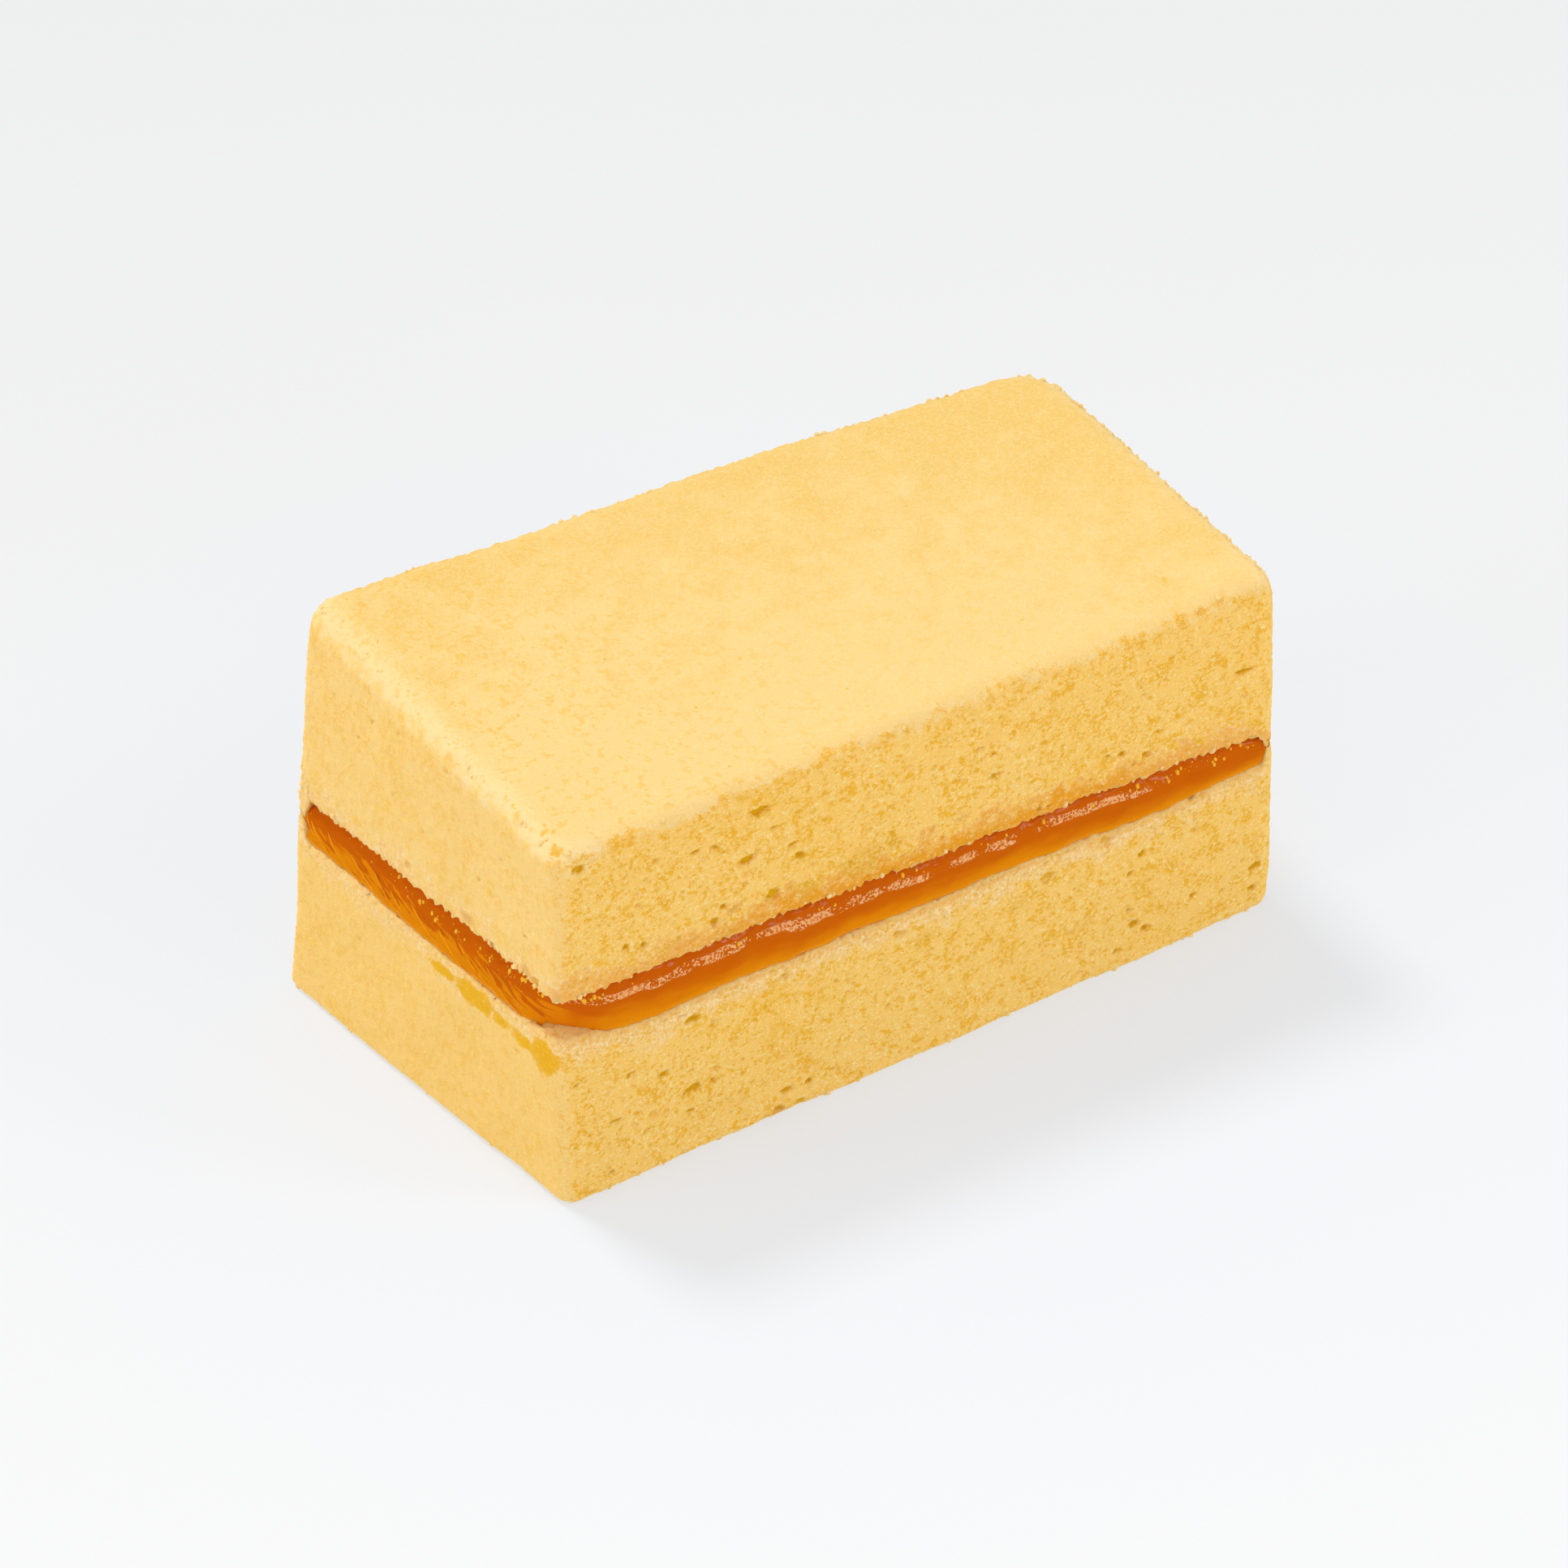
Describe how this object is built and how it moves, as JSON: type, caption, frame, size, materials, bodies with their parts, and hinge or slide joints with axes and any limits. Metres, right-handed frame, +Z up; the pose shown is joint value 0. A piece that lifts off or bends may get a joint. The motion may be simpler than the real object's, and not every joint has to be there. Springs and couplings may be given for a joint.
{
  "type": "orange chiffon cake",
  "caption": "Hand-cut rectangular bar of chiffon sponge in two layers with an orange jam filling between them, resting on its flat underside.",
  "frame": {"origin": "middle of the footprint, on the flat underside", "axes": "+X along the long cut side towards the right end, +Y across the cake towards the far long side, +Z up out of the top skin"},
  "size_m": [0.1024, 0.0526, 0.0515],
  "materials": {
    "sponge": "soft open crumb, matt",
    "jam": "glossy translucent jam"
  },
  "bodies": {
    "root": {"lower_sponge": "sponge", "orange_filling": "jam", "upper_sponge": "sponge"}
  },
  "joints": []
}
